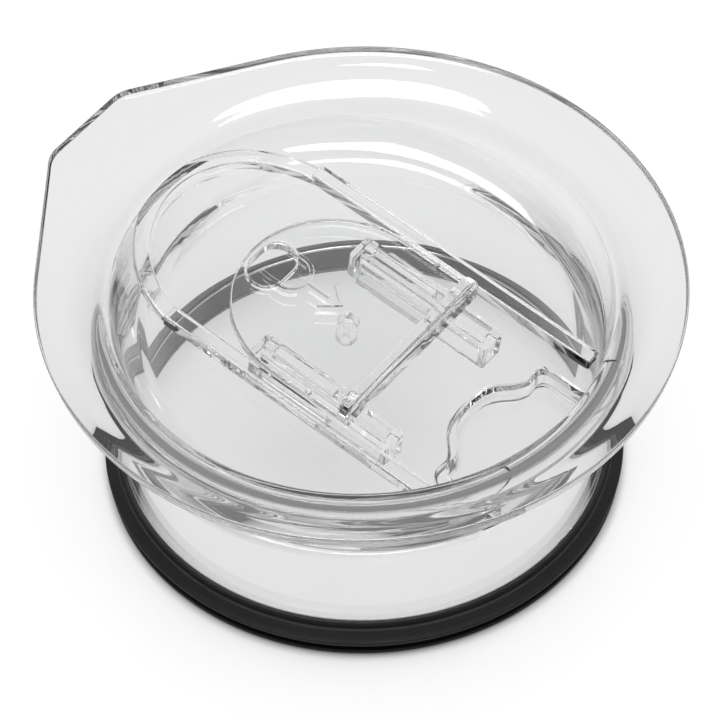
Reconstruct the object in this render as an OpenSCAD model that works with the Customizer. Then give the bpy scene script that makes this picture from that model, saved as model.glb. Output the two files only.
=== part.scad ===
// Slide-to-open lid for an insulated tumbler.
// The origin is on the plug's axis, on the surface the lid rests on. +X is the way the slider
// opens, away from the drinking spout, and +Z is up. The deck slopes down towards +X.

/* [Rim] */
// Diameter of the round part of the rim
rim_d = 100; // [98:0.5:104]
// Height of the rim's top above the resting surface
rim_h = 40.3; // [39:0.1:44]
// Thickness of the rim at its outer edge
rim_edge = 2.2; // [1.8:0.1:2.4]
// Distance from the axis to the flat lip of the spout
spout_reach = 55.2; // [53.5:0.1:58]
// Length of the flat lip of the spout
spout_w = 17; // [12:0.5:22]

/* [Deck] */
// Drop from the rim's top to the deck's upper face, on the axis
deck_drop = 10.9; // [10.4:0.1:11.5]
// Slope of the deck in degrees, down towards +X
deck_tilt = 7.5; // [6:0.5:8]
// Thickness of the deck
deck_t = 2.2; // [1.8:0.1:2.6]
// Diameter of the flat floor of the dish, inside the cove
floor_d = 68.4; // [67:0.1:69]
// Width of the drink opening, across the slider
drink_w = 8.8; // [7:0.2:10]
// Length of the drink opening, along the slider
drink_l = 6; // [4.5:0.1:6.2]
// Diameter of the vent hole
vent_d = 1.6; // [1.2:0.1:2]

/* [Plug] */
// Outer diameter of the plug wall
plug_d = 76.6; // [76:0.1:77]
// Inner diameter of the plug wall
bore_d = 72.4; // [71.6:0.1:72.8]

/* [Slider] */
// Width of the slider plate
slider_w = 33.4; // [32:0.1:33.6]
// Thickness of the slider plate
slider_t = 1.8; // [1.5:0.1:2]
// How far the slider opens
slider_travel = 10.2; // [8:0.1:10.2]
// Height of the finger bar above the plate
bar_h = 3.8; // [3:0.1:5]
// Thickness of the finger bar
bar_t = 2; // [1.6:0.1:2.2]

/* [Gasket] */
// Outer diameter of the gasket's fins
gasket_d = 82.2; // [81:0.1:84]
// Thickness of each fin at its edge
fin_t = 0.9; // [0.8:0.1:1]

/* [Hidden] */
$fn = 96;
ring_fn = 180;
clear_plastic = [0.84, 0.88, 0.9, 0.35];
clear_slider = [0.78, 0.84, 0.88, 0.45];
silicone = [0.1, 0.1, 0.1];

rim_r = rim_d / 2;
plug_r = plug_d / 2;
bore_r = bore_d / 2;              // inside of the plug, below the deck
floor_r = floor_d / 2;
gasket_r = gasket_d / 2;
deck_z = rim_h - deck_drop;       // upper face of the deck, on the axis

// Dish wall: a cone that opens upwards and bends out into the flange
wall_z0 = deck_z - 8.4;
wall_r0 = bore_r + 0.2;
wall_z1 = rim_h - 3;
wall_r1 = 38.9;
split_z = rim_h - 4.3;            // the flange meets the plug wall here
split_r = wall_r0 + (wall_r1 - wall_r0) * (split_z - wall_z0) / (wall_z1 - wall_z0);
flange_root_r = split_r + 1.6;
edge_z = rim_h - rim_edge;
bend = [[wall_r1, wall_z1], [wall_r1 + 0.5, rim_h - 1.9], [wall_r1 + 1.6, rim_h - 1.2],
        [wall_r1 + 3.6, rim_h - 0.75], [rim_r - 1.6, rim_h]];

// Spout outline: two straight flanks run from the lip's corners and meet the round rim.
lip = [-spout_reach, spout_w / 2];
flank_angle = atan2(lip[1], lip[0]) - acos(rim_r / norm(lip)) - 3;
flank = (rim_r - 0.6) * [cos(flank_angle), sin(flank_angle)];

// Cove round the floor of the dish
cove_h = 3.3;
cove_slope = 1.5;                 // radius gained for each unit of height

// Channel for the slider: two rails, and a lower ridge round the end near the spout
rail_in = slider_w / 2 + 0.35;
rail_w = 2.7;
rail_h = 2;
rail_start = -23.6;
rail_end = 27.4;
channel_x = -20.4;                // centre of the channel's round end
channel_h = 2.4;

// Guides: slots through the deck with box walls below
guide_y = 12.5;
guide_x0 = -10.5;
guide_l = 27;
guide_w = 4.8;
guide_wall = 1.3;
guide_h = 5;
slot_l = guide_l - 2 * guide_wall;
slot_w = guide_w - 2 * guide_wall;
slot_x0 = guide_x0 + guide_wall;
guide_bottom = -deck_t - guide_h;

// Finger pocket behind the slider
pocket_y = 13;
pocket_x0 = 24.8;
pocket_x1 = 40;
notch_x = 26.7;
notch_r = 6.5;
pocket_depth = 3.4;
pocket_wall = 1.3;

// Drink opening and vent
drink_x = -17.9;
vent_x = -2.6;
vent_tube_d = 3.4;
vent_tube_h = 4.4;

// Slider, drawn closed
slide_gap = 0.2;
plate_top = slide_gap + slider_t;
plate_r = slider_w / 2;
plate_x = -4.9;                   // centre of the plate's round end
tail_x = 9.8;
bar_x = tail_x - bar_t;
bar_corner = bar_h * 0.85;
leg_t = 1.4;
leg_l = slot_l - slider_travel - 0.6;
leg_x0 = slot_x0 + 0.3;
leg_bottom = guide_bottom - 0.3;
hook_h = 1.3;
hook_w = 1.2;

// Gasket and its seat
seat_z0 = 0.8;
seat_z1 = 5.2;
seat_depth = 1;
seat_r = plug_r - seat_depth;
seat_gap = 0.05;
fin_root_r = plug_r + 1;
lower_fin_z = 0.3;
upper_fin_z = 2.4;
bead_z = 5.8;

module ring(points) { rotate_extrude($fn = ring_fn) polygon(points); }

// Moves and tilts a shape drawn flat onto the deck's upper face
module on_deck() { translate([0, 0, deck_z]) rotate([0, deck_tilt, 0]) children(); }

// Everything inside the plug and the dish, as one solid
module inside() {
    ring(concat([[0, -1], [bore_r, -1], [bore_r, wall_z0], [wall_r0, wall_z0 + 0.2]], bend,
                [[rim_r - 1.6, rim_h + 9], [0, rim_h + 9]]));
}

// Flange rim, which slopes gently in to the dish
module rim() {
    color(clear_plastic)
    ring(concat([[split_r, split_z]], bend,
                [[rim_r, rim_h], [rim_r, edge_z], [flange_root_r + 2.6, split_z + 1.5],
                 [flange_root_r + 0.5, split_z + 0.8], [flange_root_r, split_z]]));
}

// Drinking spout outside the round rim
module spout() {
    color(clear_plastic)
    translate([0, 0, edge_z]) difference() {
        linear_extrude(rim_edge)
            polygon([lip, flank, [flank[0], -flank[1]], [lip[0], -lip[1]]]);
        translate([0, 0, -1]) cylinder(r = rim_r, h = rim_edge + 2, $fn = ring_fn);
    }
}

// Hollow plug with the seat for the gasket near its foot
module plug_wall() {
    color(clear_plastic)
    ring([[bore_r, 0], [plug_r - 0.5, 0], [plug_r, 0.5], [plug_r, seat_z0], [seat_r, seat_z0],
          [seat_r, seat_z1], [plug_r, seat_z1], [plug_r, wall_z0 + 0.6],
          [flange_root_r, split_z], [split_r, split_z], [wall_r0, wall_z0 + 0.2],
          [bore_r, wall_z0]]);
}

// Outline of the finger pocket: a wide recess with a round notch towards the slider
module pocket_shape(grow) {
    translate([pocket_x0 - grow, -pocket_y - grow])
        square([pocket_x1 - pocket_x0, 2 * (pocket_y + grow)]);
    translate([notch_x, 0]) circle(r = notch_r + grow);
}

module drink_shape() {
    offset_y = (drink_w - drink_l) / 2;
    for (side = [-1, 1]) translate([drink_x, side * offset_y]) circle(d = drink_l);
    translate([drink_x - drink_l / 2, -offset_y]) square([drink_l, 2 * offset_y]);
}

// Sloping deck across the plug, with every opening through it
module deck() {
    color(clear_plastic)
    difference() {
        intersection() {
            inside();
            on_deck() translate([-rim_r, -rim_r, -deck_t]) cube([rim_d, rim_d, deck_t]);
        }
        on_deck() translate([0, 0, -deck_t - 1]) {
            linear_extrude(deck_t + 2) drink_shape();
            linear_extrude(deck_t + 2) pocket_shape(0);
            translate([vent_x, 0, 0]) cylinder(d = vent_d, h = deck_t + 2);
            for (side = [-1, 1])
                translate([slot_x0, side * guide_y - slot_w / 2, 0])
                    cube([slot_l, slot_w, deck_t + 2]);
        }
    }
}

// Cone above the cove's face
module cove_face() {
    translate([0, 0, -1]) cylinder(r1 = floor_r - cove_slope, h = cove_h + 2,
                                   r2 = floor_r + cove_slope * (cove_h + 1));
}

// Half of the sloped cove between the floor and the dish wall, open at the finger pocket
module cove(side) {
    color(clear_plastic)
    difference() {
        intersection() {
            inside();
            on_deck() cylinder(r = rim_r, h = cove_h);
        }
        on_deck() {
            cove_face();
            translate([0, -pocket_y, -1]) cube([rim_r, 2 * pocket_y, cove_h + 2]);
            translate([channel_x, 0, -1]) cylinder(r = rail_in + rail_w, h = cove_h + 2);
            translate([-rim_r, side > 0 ? -rim_r : 0, -1]) cube([rim_d, rim_r, cove_h + 2]);
        }
    }
}
module cove_left() { cove(1); }
module cove_right() { cove(-1); }

// Round end of the channel: a low ridge with the cove's ramp inside it
module channel_end() {
    color(clear_plastic)
    difference() {
        intersection() {
            inside();
            on_deck() translate([channel_x, 0, 0]) cylinder(r = rail_in + rail_w, h = channel_h);
        }
        on_deck() {
            translate([rail_start, -rim_r, -1]) cube([rim_d, rim_d, channel_h + 2]);
            intersection() {
                cove_face();
                translate([channel_x, 0, -1]) cylinder(r = rail_in, h = channel_h + 2);
            }
        }
    }
}

module rail(side) {
    color(clear_plastic)
    on_deck() translate([rail_start, side > 0 ? rail_in : -rail_in - rail_w, 0])
        cube([rail_end - rail_start, rail_w, rail_h]);
}
module rail_left() { rail(1); }
module rail_right() { rail(-1); }

// Box walls under the deck, round one slot
module guide(side) {
    color(clear_plastic)
    on_deck() translate([guide_x0, side * guide_y - guide_w / 2, guide_bottom]) difference() {
        cube([guide_l, guide_w, guide_h]);
        translate([guide_wall, guide_wall, -1]) cube([slot_l, slot_w, guide_h + 2]);
    }
}
module guide_left() { guide(1); }
module guide_right() { guide(-1); }

// Tray of the finger pocket, below the deck
module finger_pocket() {
    tray_h = pocket_depth - deck_t + pocket_wall;
    color(clear_plastic)
    intersection() {
        inside();
        on_deck() translate([0, 0, -deck_t - tray_h]) difference() {
            linear_extrude(tray_h) pocket_shape(pocket_wall);
            translate([0, 0, pocket_wall]) linear_extrude(tray_h) pocket_shape(0);
        }
    }
}

// Small tube under the vent hole
module vent_tube() {
    color(clear_plastic)
    on_deck() translate([vent_x, 0, -deck_t - vent_tube_h]) difference() {
        cylinder(d = vent_tube_d, h = vent_tube_h);
        translate([0, 0, -1]) cylinder(d = vent_d, h = vent_tube_h + 2);
    }
}

// D-shaped plate that covers the drink opening
module slider_plate() {
    color(clear_slider)
    on_deck() translate([plate_x, 0, slide_gap]) {
        cylinder(r = plate_r, h = slider_t);
        translate([0, -plate_r, 0]) cube([tail_x - plate_x, slider_w, slider_t]);
    }
}

// Upright bar that a finger pushes, with its ends rounded down to the plate
module slider_bar() {
    reach = plate_r - bar_corner;
    color(clear_slider)
    on_deck() translate([bar_x, 0, plate_top]) rotate([90, 0, 90]) linear_extrude(bar_t) {
        translate([-reach, 0]) square([2 * reach, bar_h]);
        for (side = [-1, 1]) translate([side * reach, bar_h - bar_corner]) intersection() {
            circle(r = bar_corner);
            translate([-bar_corner, 0]) square(2 * bar_corner);
        }
        translate([-plate_r, 0]) square([slider_w, bar_h - bar_corner]);
    }
}

// Leg that runs in a guide, with a hook under the guide's inner wall
module slider_leg(side) {
    color(clear_slider)
    on_deck() translate([leg_x0, side * guide_y, leg_bottom - hook_h]) {
        translate([0, -leg_t / 2, 0]) cube([leg_l, leg_t, slide_gap - leg_bottom + hook_h]);
        translate([0, side > 0 ? -leg_t / 2 - hook_w : -leg_t / 2, 0])
            cube([leg_l, leg_t + hook_w, hook_h]);
    }
}
module slider_leg_left() { slider_leg(1); }
module slider_leg_right() { slider_leg(-1); }

// Silicone ring with two sealing fins that droop outwards
module gasket() {
    in_r = seat_r + seat_gap;
    low = seat_z0 + seat_gap;
    high = seat_z1 - seat_gap;
    color(silicone)
    ring([[in_r, low], [plug_r + 0.1, low], [plug_r + 0.3, lower_fin_z],
          [gasket_r - 0.3, lower_fin_z], [gasket_r - 0.3, lower_fin_z + fin_t],
          [fin_root_r, lower_fin_z + fin_t + 0.6], [fin_root_r, upper_fin_z + 0.8],
          [gasket_r, upper_fin_z], [gasket_r, upper_fin_z + fin_t],
          [fin_root_r + 0.2, upper_fin_z + fin_t + 1.4], [fin_root_r - 0.1, bead_z - 0.6],
          [fin_root_r - 0.5, bead_z], [plug_r + 0.05, bead_z], [plug_r + 0.05, high],
          [in_r, high]]);
}

rim();
spout();
plug_wall();
deck();
cove_left();
cove_right();
channel_end();
rail_left();
rail_right();
guide_left();
guide_right();
finger_pocket();
vent_tube();
slider_plate();
slider_bar();
slider_leg_left();
slider_leg_right();
gasket();
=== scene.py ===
import math

import bmesh
import bpy
from mathutils import Matrix, Vector


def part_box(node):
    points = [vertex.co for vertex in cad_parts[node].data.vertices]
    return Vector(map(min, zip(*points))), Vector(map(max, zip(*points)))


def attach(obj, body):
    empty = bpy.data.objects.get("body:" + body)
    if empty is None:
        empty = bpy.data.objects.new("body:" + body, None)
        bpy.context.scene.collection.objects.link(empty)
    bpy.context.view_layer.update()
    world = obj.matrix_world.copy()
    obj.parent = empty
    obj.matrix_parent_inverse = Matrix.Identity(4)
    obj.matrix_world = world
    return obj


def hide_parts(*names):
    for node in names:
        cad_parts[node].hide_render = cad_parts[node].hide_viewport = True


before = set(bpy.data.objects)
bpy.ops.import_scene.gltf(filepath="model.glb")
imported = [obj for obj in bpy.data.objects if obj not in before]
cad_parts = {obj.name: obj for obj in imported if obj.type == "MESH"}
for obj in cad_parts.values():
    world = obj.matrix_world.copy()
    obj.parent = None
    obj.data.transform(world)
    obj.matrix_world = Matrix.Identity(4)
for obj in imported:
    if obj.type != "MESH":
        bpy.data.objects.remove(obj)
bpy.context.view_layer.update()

mm = 0.001
print("frame loaded:", len(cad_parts), "nodes")


def inMm(node, corner, axis):
    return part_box(node)[corner][axis] / mm


# lengths are in millimetres up to the view, except where a note says metres

# the dish and its sloping deck
dish = {
    "deckHeight": 29.4,        # upper face of the deck on the axis
    "deckTilt": 7.5,           # degrees, down towards +X
    "deckThickness": 2.2,
    "floorRadius": 34.26,
    "rampRadius": 32.3,        # the floor ends earlier inside the channel's round end
    "rampAngle": 24.0,         # degrees to each side of the spout where that ramp ends
    "rampBlend": 6.0,          # and the degrees it takes to turn into the cove
    "wallFoot": (36.4, 21.0),  # radius and height of the dish wall's lower end
    "wallTop": (38.85, 37.0),
    "coveRise": 1.02,          # height of the cove for each unit of its width
    "coveRoom": 0.985,         # greatest share of the wall's height that it takes
    "coveEase": 0.32,          # 0 is a round cove, 1 a straight one
    "rampEase": 0.35,          # added to that at the spout
    "coveSkin": 0.95,          # the hollow below the cove reaches this near the cove's upper end
    "coveReach": 0.75,         # and this far outside it
    "hollowLimit": 39.3,       # greatest radius of the hollow
    "hollowInset": 0.7,        # the hollow's corner meets the deck this far inside the floor's edge
}

tiltSlope = math.tan(math.radians(dish["deckTilt"]))
deckTurn = Matrix.Rotation(math.radians(dish["deckTilt"]), 4, "Y")
deckMatrix = Matrix.Translation((0, 0, dish["deckHeight"])) @ deckTurn


def onDeck(point):
    return tuple(deckMatrix @ Vector(point))


def deckZ(x):
    return dish["deckHeight"] - tiltSlope * x


def wallRadius(z):
    (r0, z0), (r1, z1) = dish["wallFoot"], dish["wallTop"]
    return r0 + (r1 - r0) * (z - z0) / (z1 - z0)


def meshObject(name, points, faces):
    data = bpy.data.meshes.new(name)
    data.from_pydata([tuple(c * mm for c in p) for p in points], [], faces)
    bm = bmesh.new()
    bm.from_mesh(data)
    bmesh.ops.remove_doubles(bm, verts=bm.verts, dist=2e-6)
    bmesh.ops.recalc_face_normals(bm, faces=bm.faces)
    bm.to_mesh(data)
    bm.free()
    obj = bpy.data.objects.new(name, data)
    bpy.context.scene.collection.objects.link(obj)
    return obj


def loftRings(name, rings, closeLoop=False):
    # rings hold the same number of points, and neighbours are joined by quads
    count = len(rings[0])
    points = [p for ring in rings for p in ring]
    faces = []
    last = len(rings) if closeLoop else len(rings) - 1
    for j in range(last):
        a, b = j * count, ((j + 1) % len(rings)) * count
        for i in range(count):
            k = (i + 1) % count
            faces.append((a + i, a + k, b + k, b + i))
    if not closeLoop:
        faces.append(tuple(reversed(range(count))))
        faces.append(tuple(range((len(rings) - 1) * count, len(rings) * count)))
    return meshObject(name, points, faces)


def straight(start, end, steps):
    # points along a line, without its first one
    return [tuple(a + (b - a) * n / steps for a, b in zip(start, end)) for n in range(1, steps + 1)]


def curveThrough(start, control, end, steps, includeStart=True):
    # points on a quadratic Bezier curve
    made = []
    for n in range(0 if includeStart else 1, steps + 1):
        t = n / steps
        made.append(tuple((1 - t) ** 2 * a + 2 * t * (1 - t) * c + t * t * b
                          for a, c, b in zip(start, control, end)))
    return made


def arc(cx, cy, radius, first, last, steps):
    # points on a circle between two angles in degrees
    made = []
    for n in range(steps + 1):
        a = math.radians(first + (last - first) * n / steps)
        made.append((cx + radius * math.cos(a), cy + radius * math.sin(a)))
    return made


def offsetOutline(points, distance):
    # moves a counter-clockwise outline inwards along its corner bisectors
    made = []
    count = len(points)
    for i in range(count):
        p0, p1, p2 = Vector(points[i - 1]), Vector(points[i]), Vector(points[(i + 1) % count])
        d1, d2 = (p1 - p0).normalized(), (p2 - p1).normalized()
        both = Vector((-d1.y, d1.x)) + Vector((-d2.y, d2.x))
        both = both / max(0.35, both.length_squared / 2)    # the limit keeps sharp corners short
        made.append(tuple(p1 + both * distance))
    return made


def roundedSlab(name, outline, bottom, top, roundTop, roundBottom=0.0):
    # an outline drawn on the deck, extruded, with rounded edges
    layers, steps = [], 4
    if roundBottom:
        for n in range(steps):
            a = math.pi / 2 * n / steps
            layers.append((roundBottom * (1 - math.sin(a)), bottom + roundBottom * (1 - math.cos(a))))
    layers += [(0, bottom + roundBottom), (0, top - roundTop)]
    if roundTop:
        for n in range(1, steps + 1):
            a = math.pi / 2 * n / steps
            layers.append((roundTop * (1 - math.cos(a)), top - roundTop * (1 - math.sin(a))))
    rings = []
    for inset, z in layers:
        shape = offsetOutline(outline, inset) if inset else outline
        rings.append([onDeck((x, y, z)) for x, y in shape])
    return loftRings(name, rings)


def roundedBox(x0, x1, y0, y1, corner):
    # outline of a rectangle with rounded corners, counter-clockwise
    made = []
    for cx, cy, first in ((x1 - corner, y0 + corner, -90), (x1 - corner, y1 - corner, 0),
                          (x0 + corner, y1 - corner, 90), (x0 + corner, y0 + corner, 180)):
        made += arc(cx, cy, corner, first, first + 90, 4)
    return made


def circleOutline(cx, radius, cy=0, count=48):
    return arc(cx, cy, radius, 0, 360, count)[:-1]


def combine(target, tool, operation):
    step = target.modifiers.new("shape", "BOOLEAN")
    step.operation = operation
    step.object = tool
    step.solver = "MANIFOLD"
    dg = bpy.context.evaluated_depsgraph_get()
    made = bpy.data.meshes.new_from_object(target.evaluated_get(dg), depsgraph=dg)
    target.modifiers.clear()
    target.data = made
    bpy.data.objects.remove(tool)


def join(target, tool):
    combine(target, tool, "UNION")


def cut(target, tool):
    combine(target, tool, "DIFFERENCE")


def finishMesh(obj, sharpAngle=38):
    # smooth faces with area-weighted normals, so flats stay flat beside small rounded edges
    bm = bmesh.new()
    bm.from_mesh(obj.data)
    bmesh.ops.remove_doubles(bm, verts=bm.verts, dist=1.5e-6)
    bmesh.ops.dissolve_degenerate(bm, edges=bm.edges, dist=1e-6)
    openEdges = sum(1 for e in bm.edges if len(e.link_faces) != 2)
    bm.to_mesh(obj.data)
    bm.free()
    obj.data.polygons.foreach_set("use_smooth", [True] * len(obj.data.polygons))
    obj.data.set_sharp_from_angle(angle=math.radians(sharpAngle))
    step = obj.modifiers.new("normals", "WEIGHTED_NORMAL")
    step.mode = "FACE_AREA"
    step.weight = 80
    step.keep_sharp = True
    dg = bpy.context.evaluated_depsgraph_get()
    obj.data = bpy.data.meshes.new_from_object(obj.evaluated_get(dg), depsgraph=dg)
    obj.modifiers.clear()
    obj.data.name = obj.name
    print("  ", obj.name, len(obj.data.polygons), "faces,", openEdges, "open edges")
    return obj


# flange with the spout, revolved round the axis
flange = {
    "top": inMm("rim", 1, 2),
    "radius": inMm("rim", 1, 0),
    "thickness": 2.2,
    "edgeRound": 0.32,
    "edgeDraft": 0.35,         # the edge's lower side is this much smaller
    "edgeLand": 1.7,           # width of the raised border along the edge
    "dip": (45.6, 0.42),       # radius inside the border, and depth below the top there
    "dipEase": (44.8, 0.54),
    "bendEnd": (44.0, 0.58),
    "bendControl": (39.5, 0.75),
    "underStart": (45.2, 37.8),    # radius and height where the lower bend starts
    "underControl": (40.8, 37.3),
    "underEnd": (40.1, 34.4),
    "spoutReach": -inMm("spout", 0, 0),
    "spoutWidth": 17.0,
    "spoutCorner": 1.8,        # how far from the sharp corner the lip starts to turn
    "stepsRound": 264,
}


def rimOutline():
    # a circle with two straight flanks that run to the spout's flat lip
    radius = flange["radius"]
    cornerX, cornerY = -flange["spoutReach"], flange["spoutWidth"] / 2
    touch = math.atan2(cornerY, cornerX) - math.acos(radius / math.hypot(cornerX, cornerY))
    steps = flange["stepsRound"]
    arcEnd = int(touch / (2 * math.pi) * steps)
    half = arc(0, 0, radius, 0, 360 * arcEnd / steps, arcEnd)
    start = Vector((radius * math.cos(touch), radius * math.sin(touch)))
    corner = Vector((cornerX, cornerY))
    along = (corner - start).normalized()
    back = flange["spoutCorner"]
    flankEnd = tuple(corner - along * back)
    lipStart = (cornerX, cornerY - back)
    half.append(tuple(start))
    half += straight(tuple(start), flankEnd, 12)
    half += curveThrough(flankEnd, tuple(corner), lipStart, 8, False)
    half += straight(lipStart, (cornerX, 0), 4)
    return half + [(x, -y) for x, y in reversed(half[1:-1])]


def coveAt(theta):
    # where the deck's floor, the cove and the dish wall meet at one angle
    c = math.cos(theta)
    (r0, z0), (r1, z1) = dish["wallFoot"], dish["wallTop"]
    slope = (r1 - r0) / (z1 - z0)
    fromSpout = abs(math.degrees(math.remainder(theta - math.pi, 2 * math.pi)))
    blend = min(1.0, max(0.0, (fromSpout - dish["rampAngle"]) / dish["rampBlend"]))
    floorR = dish["rampRadius"] + (dish["floorRadius"] - dish["rampRadius"]) * blend
    cornerR = (r0 + slope * (dish["deckHeight"] - z0)) / (1 + slope * tiltSlope * c)
    cornerZ = deckZ(cornerR * c)
    rise = min((cornerR - floorR) * dish["coveRise"], (z1 - cornerZ) * dish["coveRoom"])
    ease = dish["rampEase"] * (1 - blend) + dish["coveEase"]
    return c, floorR, cornerR, cornerZ + rise, ease


def eased(corner, start, end, ease):
    # a curve's control point, moved from the sharp corner towards the middle of the chord
    return tuple(p + ((a + b) / 2 - p) * ease for p, a, b in zip(corner, start, end))


def dishSection(cove):
    # up the cove from the floor, and on up the dish wall
    c, floorR, cornerR, wallZ, ease = cove
    floorEnd, wallStart = (floorR, deckZ(floorR * c)), (wallRadius(wallZ), wallZ)
    control = eased((cornerR, deckZ(cornerR * c)), floorEnd, wallStart, ease)
    return curveThrough(floorEnd, control, wallStart, 12) + straight(wallStart, dish["wallTop"], 8)


def flangeSection(edge):
    # out over the flange's top, round its edge and back below it to the plug
    top = flange["top"]
    bendControl, bendEnd, dipEase, dip = [
        (flange[key][0], top - flange[key][1]) for key in ("bendControl", "bendEnd", "dipEase", "dip")]
    made = curveThrough(dish["wallTop"], bendControl, bendEnd, 14, False)
    made += curveThrough(bendEnd, dipEase, dip, 3, False)
    land = edge - flange["edgeLand"]
    for n in range(1, 7):
        t = n / 6
        made.append((dip[0] + (land - dip[0]) * t, dip[1] + (top - dip[1]) * math.sin(t * math.pi / 2)))
    e, low = flange["edgeRound"], top - flange["thickness"]
    inner = edge - flange["edgeDraft"] - e
    made += arc(edge - e, top - e, e, 90, 0, 6)
    made += arc(inner, low + e, e, 0, -90, 6)
    made += straight((inner, low), flange["underStart"], 6)[:-1]    # the corner point itself is left out
    return made + curveThrough(flange["underStart"], flange["underControl"], flange["underEnd"], 12, False)


# hollow plug below the flange, with the gasket's seat
plug = {
    "radius": 38.3,
    "boreRadius": 36.2,
    "taperEnd": 22.4,          # the outside narrows down to this height
    "straightTop": 21.4,       # and is straight below this one
    "boreTop": 20.4,           # the bore widens above this
    "footRound": 0.5,
    "seatRadius": 37.3,
    "seat": (0.8, 5.2),        # lower and upper height of the seat
    "seatBreak": 0.15,         # bevel on the seat's edges
    "seatFootBreak": 0.12,
}


def plugSection():
    # down the outside, through the seat, round the foot and up the bore
    radius, bore, foot, edge = plug["radius"], plug["boreRadius"], plug["footRound"], plug["seatBreak"]
    seatLow, seatHigh = plug["seat"]
    made = straight(flange["underEnd"], (radius + 0.02, plug["taperEnd"]), 6)
    made.append((radius, plug["straightTop"]))
    made += straight((radius, plug["straightTop"]), (radius, seatHigh + 0.4), 4)
    made += [(radius, seatHigh + edge), (radius - edge, seatHigh), (plug["seatRadius"], seatHigh)]
    made += [(plug["seatRadius"], seatLow), (radius - edge, seatLow)]
    made += [(radius, seatLow - plug["seatFootBreak"])]
    made += arc(radius - foot, foot, foot, 0, -90, 4)
    made += arc(bore + foot, foot, foot, -90, -180, 4)
    return made + straight((bore, foot), (bore, plug["boreTop"]), 5)


def hollowSection(cove):
    # up from the bore and in under the deck; the corner bends like the cove, and starts a little outside it
    c, floorR, cornerR, wallZ, ease = cove
    drop = dish["deckThickness"] / math.cos(math.radians(dish["deckTilt"]))
    top = (min(wallRadius(wallZ) + dish["coveReach"], dish["hollowLimit"]), wallZ - dish["coveSkin"])
    inner = floorR - dish["hollowInset"]
    deckEnd = (inner, deckZ(inner * c) - drop)
    corner = cornerR - 0.1
    control = eased((corner, deckZ(corner * c) - drop), deckEnd, top, ease)
    made = straight((plug["boreRadius"], plug["boreTop"]), top, 4)
    made += curveThrough(top, control, deckEnd, 10, False)
    last = inner - 0.4
    return made + [(last, deckZ(last * c) - drop)]


def buildShell():
    sections = []
    for x, y in rimOutline():
        theta, edge = math.atan2(y, x), math.hypot(x, y)
        cove = coveAt(theta)
        section = dishSection(cove) + flangeSection(edge) + plugSection() + hollowSection(cove)
        sections.append([(r * math.cos(theta), r * math.sin(theta), z) for r, z in section])
    return loftRings("lidBody", [list(ring) for ring in zip(*sections)])


# the slider's channel: two rails and a ridge round the end near the spout
channel = {
    "railInner": 17.05,
    "railOuter": 19.75,
    "railHeight": 2.0,
    "railStart": -23.6,
    "railEnd": 31.0,
    "endCentre": -20.4,
    "ridgeLow": 1.15,          # ridge height where it leaves the rails
    "ridgeHigh": 2.75,         # and at the spout
    "ridgeOverlap": 0.4,       # the ridge and the rails run into each other
    "sink": 0.8,               # how far both reach down into the deck
    "soft": [(0, 0.3), (0.05, 0.12), (0.16, 0.02), (0.35, 0)],   # rounded edge: in from the side, down
}


def ridgeStrip():
    inner, outer, cx, sink = channel["railInner"], channel["railOuter"], channel["endCentre"], channel["sink"]
    start = math.acos((channel["railStart"] + channel["ridgeOverlap"] - cx) / ((inner + outer) / 2))
    atRails = math.cos(math.pi - start)
    rings = []
    for n in range(73):
        a = start + (2 * math.pi - 2 * start) * n / 72
        lift = max(0, (-math.cos(a) - atRails) / (1 - atRails))
        h = channel["ridgeLow"] + (channel["ridgeHigh"] - channel["ridgeLow"]) * lift
        section = [(inner, -sink)] + [(inner + side, h - down) for side, down in channel["soft"]]
        section += [(outer - side, h - down) for side, down in reversed(channel["soft"])] + [(outer, -sink)]
        rings.append([onDeck((cx + r * math.cos(a), r * math.sin(a), z)) for r, z in section])
    return loftRings("ridge", rings)


def railBar(side):
    y0, y1 = sorted((side * channel["railInner"], side * channel["railOuter"]))
    outline = roundedBox(channel["railStart"], channel["railEnd"], y0, y1, 0.25)
    return roundedSlab("rail", outline, -channel["sink"], channel["railHeight"], 0.3)


# boxes below the deck that hold the slider's legs
guides = {
    "centre": 12.5,
    "start": -10.5,
    "length": 27.0,
    "width": 4.8,
    "wall": 1.3,
    "depth": 5.0,
}
belowTop = -1.0    # pieces that hang under the deck reach up into it, to this height


def guideOutline(side, inset, corner):
    x0, x1 = guides["start"] + inset, guides["start"] + guides["length"] - inset
    cy, half = side * guides["centre"], guides["width"] / 2 - inset
    return roundedBox(x0, x1, cy - half, cy + half, corner)


# finger pocket: a recess with a round notch towards the slider
pocket = {
    "halfWidth": 13.0,
    "shoulder": 25.0,
    "shoulderRound": [(2.2, 0), (1.3, 0.15), (0.6, 0.6), (0.15, 1.3), (0, 2.2)],
    "notchTip": 20.8,
    "notch": [(9.3, 4.3), (8.2, 3.85), (7.3, 3.25), (6.5, 2.5), (5.7, 1.75), (4.6, 0.98), (3.2, 0.35),
              (1.6, 0.07), (0.0, 0.0)],    # half of the notch: sideways, and back from its tip
    "depth": 3.4,
    "wall": 1.3,
    "niche": 0.9,              # how far the niche above it is let in to the dish wall
    "wallX": 37,               # about where the pocket meets the dish wall
}


def pocketOutline(grow, right):
    # the notch on the left and an arc of the dish wall on the right, counter-clockwise
    w, shoulder, tip = pocket["halfWidth"] + grow, pocket["shoulder"] - grow, pocket["notchTip"] - grow
    limit = math.degrees(math.asin(w / right))
    turn = [(shoulder + x, w - y) for x, y in pocket["shoulderRound"]]
    half = [(tip + x, y + grow * 0.7 * min(1, y / 4)) for y, x in pocket["notch"]]
    return (arc(0, 0, right, -limit, limit, 24) + turn + half
            + [(x, -y) for x, y in reversed(half[:-1])] + [(x, -y) for x, y in reversed(turn)])


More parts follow.
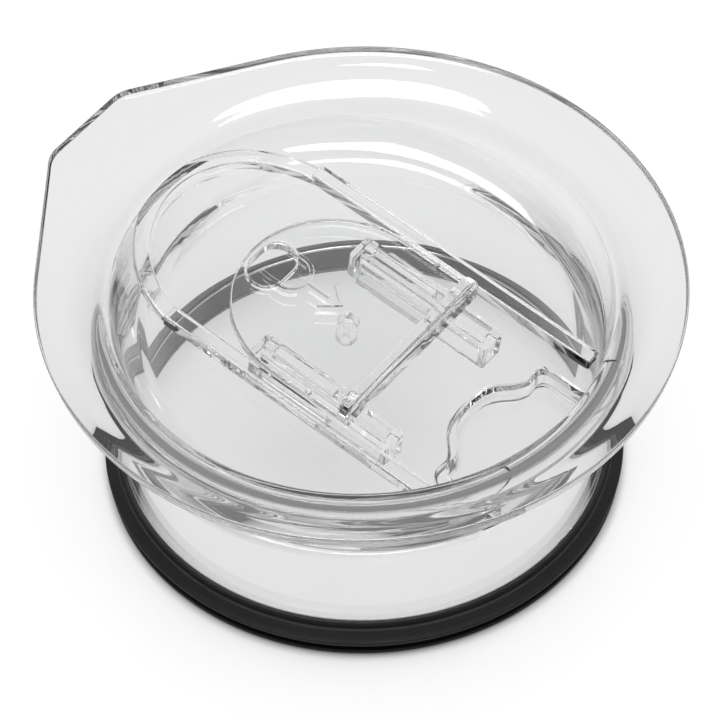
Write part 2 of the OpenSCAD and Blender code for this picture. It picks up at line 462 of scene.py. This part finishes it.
def pocketSolid(name, layers, grow):
    # layers are (height above the deck, inset of the left side, reach of the right side into the wall)
    rings = []
    for height, inset, recess in layers:
        right = wallRadius(deckZ(pocket["wallX"]) + height) + recess
        lift = height / math.cos(math.radians(dish["deckTilt"]))
        rings.append([(x, y, deckZ(x) + lift) for x, y in pocketOutline(grow - inset, right)])
    return loftRings(name, rings)


def pocketTray():
    low = -pocket["depth"] - pocket["wall"]
    layers = [(low, 0.5, -0.35), (low + 0.15, 0.2, -0.05), (low + 0.5, 0, 0.5), (-0.9, 0, 0.5)]
    return pocketSolid("pocketTray", layers, pocket["wall"])


def pocketSpace():
    low, niche = -pocket["depth"], pocket["niche"]
    floorBend = [(low, 0.6, -0.9), (low + 0.07, 0.35, -0.5), (low + 0.25, 0.14, -0.1)]
    floorBend += [(low + 0.5, 0.03, 0.25)]
    side = [(low + 0.8, 0, 0.5), (-0.3, 0, 0.75), (0.06, 0, 0.82), (3, 0, niche), (9, 0, niche)]
    nicheTop = [(11.2, 0, 0.8), (12.4, 0, 0.3), (13.0, 0, -0.6)]
    return pocketSolid("pocketSpace", floorBend + side + nicheTop, 0)


# drink opening, and the vent with its short tube
ports = {
    "drinkX": -17.9,
    "drinkLength": 6.0,
    "drinkWidth": 8.8,
    "drinkLip": [(-0.5, -3.5), (-0.5, -2.4), (-0.3, -2.12), (-0.1, -1.98), (0, -1.8), (0, -0.4),
                 (-0.1, -0.2), (-0.3, -0.06), (-0.55, 0.05), (-0.6, 1.0)],    # inset (wider below 0), height
    "ventX": -2.6,
    "ventBore": 0.8,
    "ventTube": 1.7,
    "ventDepth": 6.6,
}


def drinkHole():
    r = ports["drinkLength"] / 2
    reach = ports["drinkWidth"] / 2 - r
    hole = arc(ports["drinkX"], reach, r, 0, 180, 24) + arc(ports["drinkX"], -reach, r, 180, 360, 24)
    rings = []
    for inset, h in ports["drinkLip"]:
        rings.append([onDeck((x, y, h)) for x, y in (offsetOutline(hole, inset) if inset else hole)])
    return loftRings("drinkHole", rings)


def buildLidBody():
    body = buildShell()
    join(body, ridgeStrip())
    guideLow = -dish["deckThickness"] - guides["depth"]
    for side in (-1, 1):
        join(body, railBar(side))
        join(body, roundedSlab("guideBox", guideOutline(side, 0, 0.5), guideLow, belowTop, 0.05, 0.3))
    join(body, pocketTray())
    join(body, roundedSlab("ventTube", circleOutline(ports["ventX"], ports["ventTube"]),
                           -ports["ventDepth"], belowTop, 0.05, 0.25))
    cut(body, pocketSpace())
    for side in (-1, 1):
        cut(body, roundedSlab("slot", guideOutline(side, guides["wall"], 0.3), -9, 1, 0))
    cut(body, drinkHole())
    cut(body, roundedSlab("ventHole", circleOutline(ports["ventX"], ports["ventBore"]), -8, 1, 0))
    return finishMesh(body)


slider = {
    "gap": 0.2,                # between the deck and the plate
    "plate": 1.8,
    "radius": 16.7,
    "centre": -4.9,
    "tail": 9.8,
    "barThickness": 2.0,
    "barHeight": 3.8,
    "barRound": 0.45,
    "scoop": 0.8,              # depth of the thumb hollow in the bar's face towards the pocket
    "scoopRadius": 2.7,
    "scoopReach": 14.2,        # half of its length
    "legThickness": 1.4,
    "legStart": -8.9,
    "legLength": 13.6,
    "legBottom": -8.8,
    "hook": 1.2,               # how far the hooks stand out from the legs
    "hookHeight": 1.3,
    "edgeRound": 0.3,
    "studX": 2.0,              # small round studs at the plate's edges
    "studRadius": 0.55,
    "markHeight": 0.3,
    "markSink": 0.4,
}
plateTop = slider["gap"] + slider["plate"]


def plateOutline():
    radius, tail, corner = slider["radius"], slider["tail"], 0.6
    made = arc(tail - corner, -radius + corner, corner, -90, 0, 4)
    made += arc(tail - corner, radius - corner, corner, 0, 90, 4)
    return made + arc(slider["centre"], 0, radius, 90, 270, 96)


def barSolid():
    # upright bar with its ends rounded down to the plate, and rounded long edges
    half, h, e = slider["radius"] - 0.02, slider["barHeight"], slider["barRound"]
    front, back = slider["tail"] - slider["barThickness"], slider["tail"]
    corner = h * 0.85
    outline = [(-half, -0.6), (half, -0.6)]
    outline += arc(half - corner, h - corner, corner, 0, 90, 12)
    outline += arc(-half + corner, h - corner, corner, 90, 180, 12)
    turn = [(e * (1 - math.cos(a)), e * (1 - math.sin(a))) for a in [math.pi / 2 * n / 5 for n in range(6)]]
    layers = [(front + along, inset) for along, inset in turn]
    layers += [(back - along, inset) for along, inset in reversed(turn)]
    rings = []
    for x, inset in layers:
        shape = offsetOutline(outline, inset) if inset > 1e-6 else outline
        rings.append([onDeck((x, y, plateTop + z)) for y, z in shape])
    return loftRings("bar", rings)


def thumbScoop():
    # long shallow hollow in the bar's face towards the pocket
    depth, radius = slider["scoop"], slider["scoopRadius"]
    x, z = slider["tail"] + radius - depth, plateTop + slider["barHeight"] * 0.46
    rings = []
    for n in range(41):
        a = math.pi / 2 * (-1 + 2 * n / 40)
        r = radius - 1.2 * depth * (1 - math.cos(a)) ** 1.2
        y = slider["scoopReach"] * math.sin(a)
        rings.append([onDeck((x + u, y, z + 0.5 * v)) for u, v in circleOutline(0, r)])
    return loftRings("scoop", rings)


def raisedLine(name, path, width):
    # a raised line of constant width along a path on the plate
    low, top, soft = plateTop - slider["markSink"], plateTop + slider["markHeight"], 0.16
    half = [(-1, low, 0), (-1, top - soft, 0), (-1, top, soft)]
    section = half + [(-side, z, inset) for side, z, inset in reversed(half)]
    rings = []
    for i, place in enumerate(path):
        p = Vector(place)
        before, after = Vector(path[max(i - 1, 0)]), Vector(path[min(i + 1, len(path) - 1)])
        d = (after - before).normalized()
        across = Vector((-d.y, d.x))
        rings.append([onDeck((*(p + across * side * (width / 2 - inset)), z)) for side, z, inset in section])
    return loftRings(name, rings)


def addMark(plate):
    # generic raised mark: an open loop, a short stem and an arrow that points the way the slider opens
    bow = [(-14.0 + x * 0.95, y) for x, y in arc(0, 0, 3.15, 80, -80, 16)]
    loop = [(-17.6, 3.1), (-15.6, 3.2), (-13.6, 3.15)] + bow + [(-13.6, -3.15), (-15.6, -3.2), (-17.6, -3.1)]
    join(plate, raisedLine("loop", loop, 0.8))
    join(plate, raisedLine("stem", [(-11.2, 0), (-9.0, 0), (-6.6, 0)], 0.7))
    join(plate, raisedLine("arrow", [(-7.2, 2.5), (-5.6, 1.1), (-4.3, 0.0), (-5.6, -1.1), (-7.2, -2.5)], 0.7))


def addLeg(plate, side):
    cy, t, over = side * guides["centre"], slider["legThickness"] / 2, 0.04
    x0, x1, low = slider["legStart"], slider["legStart"] + slider["legLength"], slider["legBottom"]
    join(plate, roundedSlab("leg", roundedBox(x0, x1, cy - t, cy + t, 0.2),
                            low, slider["gap"] + 0.5, 0.05, 0.1))
    y0, y1 = sorted((cy - side * (t + slider["hook"]), cy + side * (t + over)))
    join(plate, roundedSlab("hook", roundedBox(x0 - over, x1 + over, y0, y1, 0.3),
                            low - 0.05, low + slider["hookHeight"], 0.2, 0.25))


def buildSlider():
    plate = roundedSlab("sliderBody", plateOutline(), slider["gap"], plateTop, slider["edgeRound"], 0.2)
    join(plate, barSolid())
    for side in (-1, 1):
        addLeg(plate, side)
        r = slider["studRadius"]
        stud = circleOutline(slider["studX"], r, side * (slider["radius"] - r), 20)
        join(plate, roundedSlab("detent", stud, slider["gap"] + 0.3, plateTop + 0.35, 0.3))
    cut(plate, thumbScoop())
    addMark(plate)
    return finishMesh(plate)


gasket = {
    "finRadius": inMm("gasket", 1, 0),
    "seatRadius": 37.35,
    "bead": inMm("gasket", 1, 2),
    "foot": inMm("gasket", 0, 2),
    "stepsRound": 256,
}


def buildGasket():
    fin, wall, low, bead, seat = (gasket["finRadius"], plug["radius"], gasket["foot"], gasket["bead"],
                                  gasket["seatRadius"])
    section = [(seat, 0.9), (wall + 0.15, 0.9)]
    # lower fin, from the plug out and back
    section += curveThrough((wall + 0.2, low + 0.05), (wall + 0.3, low), (wall + 0.6, low), 2)
    section += [(fin - 0.75, low)]
    section += curveThrough((fin - 0.6, low), (fin - 0.3, low), (fin - 0.3, low + 0.4), 4)
    section += curveThrough((fin - 0.3, low + 0.55), (fin - 0.3, low + 0.9), (fin - 0.62, low + 0.95), 4)
    section += [(wall + 1.7, low + 1.25)]
    # the gap between the fins
    section += curveThrough((wall + 1.25, low + 1.35), (wall + 1.0, low + 1.5), (wall + 1.0, low + 1.8), 4)
    section += curveThrough((wall + 1.0, 2.75), (wall + 1.0, 2.95), (wall + 1.3, 2.9), 3)
    # upper fin
    section += [(fin - 0.55, 2.42)]
    section += curveThrough((fin - 0.45, 2.4), (fin, 2.4), (fin, 2.8), 4)
    section += curveThrough((fin, 2.95), (fin, 3.28), (fin - 0.3, 3.36), 5)
    section += [(fin - 0.9, 3.86), (wall + 1.35, 4.55)]
    # groove and bead above it, then back down the seat
    section += curveThrough((wall + 1.15, 4.6), (wall + 0.8, 4.45), (wall + 0.78, 4.95), 6)
    section += curveThrough((wall + 0.83, 5.3), (wall + 0.84, bead), (wall + 0.42, bead), 6)
    section += curveThrough((wall + 0.36, bead), (wall + 0.06, bead), (wall + 0.06, 5.5), 5)
    section += [(wall + 0.06, 5.12), (seat, 5.12)]
    rings = []
    for c, s in circleOutline(0, 1, 0, gasket["stepsRound"]):
        rings.append([(r * c, r * s, z) for r, z in section])
    return finishMesh(loftRings("gasketRing", rings, closeLoop=True), 50)


print("building the lid body")
lidBody = buildLidBody()
print("building the slider")
sliderBody = buildSlider()
print("building the gasket")
gasketRing = buildGasket()

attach(lidBody, "lid")
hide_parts("rim", "spout", "plug_wall", "deck", "cove_left", "cove_right", "channel_end",
            "rail_left", "rail_right", "guide_left", "guide_right", "finger_pocket", "vent_tube")
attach(sliderBody, "slider")
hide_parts("slider_plate", "slider_bar", "slider_leg_left", "slider_leg_right")
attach(gasketRing, "lid")
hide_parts("gasket")


class Link:
    # wraps a node's output, so that shader maths reads as plain arithmetic
    def __init__(self, maker, socket):
        self.maker, self.socket = maker, socket

    def math(self, operation, a, b):
        return self.maker.node("ShaderNodeMath", {"operation": operation}, {0: a, 1: b}).out()

    def __add__(self, other):
        return self.math("ADD", self, other)

    def __radd__(self, other):
        return self.math("ADD", other, self)

    def __mul__(self, other):
        return self.math("MULTIPLY", self, other)

    def __rmul__(self, other):
        return self.math("MULTIPLY", other, self)

    def __pow__(self, other):
        return self.math("POWER", self, other)

    def __rpow__(self, other):
        return self.math("POWER", other, self)

    def __or__(self, other):    # the larger of two, so that masks of 0 and 1 combine
        return self.math("MAXIMUM", self, other)

    def __ror__(self, other):
        return self.math("MAXIMUM", other, self)


class Made:
    def __init__(self, maker, node):
        self.maker, self.node = maker, node

    def out(self, name=0):
        return Link(self.maker, self.node.outputs[name])


class Finish:
    def __init__(self, name, tree=None):
        if tree is None:
            self.material = bpy.data.materials.new(name)
            self.material.use_nodes = True
            tree = self.material.node_tree
        self.tree = tree
        tree.nodes.clear()

    def node(self, kind, settings=None, sockets=None):
        made = self.tree.nodes.new(kind)
        for key, value in (settings or {}).items():
            if key == "stops":
                ramp = made.color_ramp
                while len(ramp.elements) < len(value):
                    ramp.elements.new(0.5)
                for element, (place, color) in zip(ramp.elements, value):
                    element.position = place
                    element.color = color
            else:
                setattr(made, key, value)
        for key, value in (sockets or {}).items():
            if isinstance(value, Link):
                self.tree.links.new(value.socket, made.inputs[key])
            else:
                made.inputs[key].default_value = value
        return Made(self, made)

    def noise(self, place, scale, detail, roughness=0.5):
        return self.node("ShaderNodeTexNoise", {"noise_dimensions": "3D"}, {
            "Vector": place, "Scale": scale, "Detail": detail, "Roughness": roughness}).out("Fac")

    def ramp(self, value, *stops):
        return self.node("ShaderNodeValToRGB", {"stops": stops}, {0: value}).out("Color")


clear = {
    "ior": 1.54,
    "roughness": 0.008,
    "haze": 0.02,              # added roughness in fine specks
    "tint": (0.985, 0.99, 0.992),
    "shade": (0.94, 0.94, 0.94),    # share of the light that passes each face on its way to the floor
    "unevenness": 0.0006,      # metres
    "bodyBump": 0.05,
    "sliderBump": 0.04,
}


def clearPlastic(name, bumpStrength):
    f = Finish(name)
    place = f.node("ShaderNodeTexCoord").out("Object")
    broad = f.noise(place, 42.0, 2.0)
    fine = f.noise(place, 900.0, 3.0, 0.6)
    roughness = clear["roughness"] + fine ** 3 * clear["haze"]
    bump = f.node("ShaderNodeBump", None, {
        "Strength": bumpStrength, "Distance": clear["unevenness"], "Height": broad}).out()
    tint = f.node("ShaderNodeMix", {"data_type": "RGBA"}, {
        0: broad, 6: (*clear["tint"], 1), 7: (1, 1, 1, 1)}).out(2)
    shell = f.node("ShaderNodeBsdfPrincipled", None, {
        "Base Color": tint, "Roughness": roughness, "IOR": clear["ior"],
        "Transmission Weight": 1.0, "Normal": bump}).out()
    through = f.node("ShaderNodeBsdfTransparent", None, {"Color": (*clear["shade"], 1)}).out()
    # shadow rays and diffuse bounces pass straight through, so what lies under the plastic is lit evenly
    path = f.node("ShaderNodeLightPath")
    passes = path.out("Is Shadow Ray") | path.out("Is Diffuse Ray")
    mixed = f.node("ShaderNodeMixShader", None, {0: passes, 1: shell, 2: through}).out()
    f.node("ShaderNodeOutputMaterial", None, {"Surface": mixed})
    return f.material


silicone = {
    "dark": (0.008, 0.008, 0.0085),
    "light": (0.014, 0.014, 0.0145),
    "roughness": 0.55,
    "ior": 1.43,
    "grainDepth": 0.00008,     # metres
}


def softSilicone():
    f = Finish("blackSilicone")
    place = f.node("ShaderNodeTexCoord").out("Object")
    grain = f.noise(place, 2600.0, 2.0)
    cloud = f.noise(place, 70.0, 3.0)
    color = f.node("ShaderNodeMix", {"data_type": "RGBA"}, {
        0: cloud, 6: (*silicone["dark"], 1), 7: (*silicone["light"], 1)}).out(2)
    bump = f.node("ShaderNodeBump", None, {
        "Strength": 0.25, "Distance": silicone["grainDepth"], "Height": grain}).out()
    shell = f.node("ShaderNodeBsdfPrincipled", None, {
        "Base Color": color, "Roughness": silicone["roughness"] + cloud * 0.12,
        "IOR": silicone["ior"], "Normal": bump}).out()
    f.node("ShaderNodeOutputMaterial", None, {"Surface": shell})
    return f.material


def assign(obj, material):
    obj.data.materials.clear()
    obj.data.materials.append(material)


assign(lidBody, clearPlastic("clearBodyPlastic", clear["bodyBump"]))
assign(sliderBody, clearPlastic("clearSliderPlastic", clear["sliderBump"]))
assign(gasketRing, softSilicone())
print("materials done")

# lengths are in metres from here on
# the view comes first, because the pool of light painted on the floor and the dim wall stand on its far side
view = {
    "distance": 0.700,
    "azimuth": 38.67,
    "elevation": 48.89,
    "lens": 229.7,
    "roll": -1.11,
    "tiltDown": 0.973,
    "turn": 0.0137,
}
viewAngle = math.radians(view["azimuth"])
away = (-math.sin(viewAngle), math.cos(viewAngle), 0)    # level, from the camera past the lid

floor = {
    "color": (0.93, 0.93, 0.935),
    # painted shade: the floor's colour outside the painted pool of light
    "edge": (0.12, 0.12, 0.122),
    "paintedLightPool": (0.30, 0.37),     # radius of the pool of light painted on the floor, and where its painted shade is full
    "patchShift": 0.20,        # its centre lies this far behind the lid, so painted shade falls on the floor in front
    "lift": 0.16,              # glow where the floor is seen directly
    "radius": 0.95,
    "roughness": 0.16,
    "ior": 1.45,
}


def paleFloor():
    # evenly pale where it's seen directly; what shows through the plastic is a pool of light painted round
    # the lid, dark with painted shade beyond it
    f = Finish("paleFloor")
    place = f.node("ShaderNodeTexCoord").out("Object")
    cloud = f.noise(place, 3.0, 2.0)
    centre = tuple(c * floor["patchShift"] for c in away)
    far = f.node("ShaderNodeVectorMath", {"operation": "DISTANCE"}, {0: place, 1: centre}).out("Value")
    near, edge = (*floor["color"], 1), (*floor["edge"], 1)
    # painted light: the base colour is pale near the lid and dark further off, a painted pool of light with
    # painted shade round it
    paintedLightPool = f.ramp(far, (floor["paintedLightPool"][0], near), (floor["paintedLightPool"][1], edge))
    finish = {"Roughness": floor["roughness"] + cloud * 0.04, "IOR": floor["ior"]}
    plain = f.node("ShaderNodeBsdfPrincipled", None, {"Base Color": paintedLightPool, **finish}).out()
    lit = f.node("ShaderNodeBsdfPrincipled", None, {
        "Base Color": near, **finish,
        "Emission Color": (1, 1, 1, 1), "Emission Strength": floor["lift"]}).out()
    direct = f.node("ShaderNodeLightPath").out("Is Camera Ray")
    mixed = f.node("ShaderNodeMixShader", None, {0: direct, 1: plain, 2: lit}).out()
    f.node("ShaderNodeOutputMaterial", None, {"Surface": mixed})
    return f.material


def buildFloor():
    bm = bmesh.new()
    bmesh.ops.create_circle(bm, cap_ends=True, segments=96, radius=floor["radius"])
    data = bpy.data.meshes.new("floor")
    bm.to_mesh(data)
    bm.free()
    obj = bpy.data.objects.new("floor", data)
    bpy.context.scene.collection.objects.link(obj)
    assign(obj, paleFloor())


# surroundings: dark low down, so that clear edges show, and softly lit above
sky = {
    "horizon": 0.02,
    "zenith": 0.5,
    "band": (0.62, 0.8),       # where the dark turns light, as the upward part of a direction
    "lean": 0.32,              # the band comes lower on the far side
    "wall": 0.22,              # dim wall behind the lid, seen only through it and in reflections
    "wallBand": (0.3, 0.5),    # where it begins and is full, towards the far side
    "wallTop": (0.45, 0.6),    # where it ends upwards
    "direct": 0.95,            # what the camera sees past the floor
}


def grey(value):
    return (value, value, value, 1)


def buildWorld():
    world = bpy.data.worlds.new("studio")
    world.use_nodes = True
    bpy.context.scene.world = world
    f = Finish("studio", world.node_tree)
    direction = f.node("ShaderNodeTexCoord").out("Generated")
    height = f.node("ShaderNodeSeparateXYZ", None, {0: direction}).out("Z")
    behind = f.node("ShaderNodeVectorMath", {"operation": "DOT_PRODUCT"}, {
        0: direction, 1: away}).out("Value")
    low, high = sky["band"]
    wallLow, wallHigh = sky["wallBand"]
    capLow, capHigh = sky["wallTop"]
    band = f.ramp(height + behind * sky["lean"], (low, grey(sky["horizon"])), (high, grey(sky["zenith"])))
    wall = f.ramp(behind, (wallLow, grey(0)), (wallHigh, grey(sky["wall"])))
    cap = f.ramp(height, (capLow, grey(1)), (capHigh, grey(0.1)))
    backdrop = f.node("ShaderNodeMix", {"data_type": "RGBA", "blend_type": "MULTIPLY"}, {
        0: 1.0, 6: wall, 7: cap}).out(2)
    both = f.node("ShaderNodeMix", {"data_type": "RGBA", "blend_type": "LIGHTEN"}, {
        0: 1.0, 6: band, 7: backdrop}).out(2)
    around = f.node("ShaderNodeBackground", None, {"Color": both, "Strength": 1.0}).out()
    plain = f.node("ShaderNodeBackground", None, {"Color": grey(sky["direct"]), "Strength": 1.0}).out()
    direct = f.node("ShaderNodeLightPath").out("Is Camera Ray")
    mixed = f.node("ShaderNodeMixShader", None, {0: direct, 1: around, 2: plain}).out()
    f.node("ShaderNodeOutputWorld", None, {"Surface": mixed})


def buildCamera():
    data = bpy.data.cameras.new("camera")
    data.sensor_width, data.lens = 36.0, view["lens"]
    data.clip_start, data.clip_end = 0.01, 20.0
    obj = bpy.data.objects.new("camera", data)
    e = math.radians(view["elevation"])
    back = Vector((-away[0] * math.cos(e), -away[1] * math.cos(e), math.sin(e)))
    turn = (-back).to_track_quat("-Z", "Y").to_matrix().to_4x4()
    for angle, axis in ((view["roll"], "Z"), (-view["tiltDown"], "X"), (view["turn"], "Y")):
        turn = turn @ Matrix.Rotation(math.radians(angle), 4, axis)
    centre = Vector((0, 0, flange["top"] * mm))
    obj.matrix_world = Matrix.Translation(centre + back * view["distance"]) @ turn
    bpy.context.scene.collection.objects.link(obj)
    bpy.context.scene.camera = obj


softBox = {
    "height": 0.95,            # straight above the lid
    "size": 0.55,
    "power": 6.8,
}


def buildSoftBox():
    data = bpy.data.lights.new("overBox", "AREA")
    data.shape, data.energy = "RECTANGLE", softBox["power"]
    data.size, data.size_y = softBox["size"], softBox["size"]
    obj = bpy.data.objects.new("overBox", data)
    obj.location = (0, 0, softBox["height"])
    obj.rotation_euler = Vector((0, 0, -1)).to_track_quat("-Z", "Y").to_euler()
    bpy.context.scene.collection.objects.link(obj)


buildFloor()
buildWorld()
buildCamera()
buildSoftBox()

scene = bpy.context.scene
scene.view_settings.view_transform = "Standard"
scene.cycles.max_bounces = 44    # light runs far inside clear walls
scene.cycles.transmission_bounces = 40
scene.cycles.glossy_bounces = 20
scene.cycles.diffuse_bounces = 3
scene.cycles.transparent_max_bounces = 24
scene.cycles.use_denoising = True
scene.cycles.caustics_refractive = False
scene.cycles.caustics_reflective = False
scene.cycles.sample_clamp_indirect = 6.0
print("studio done")
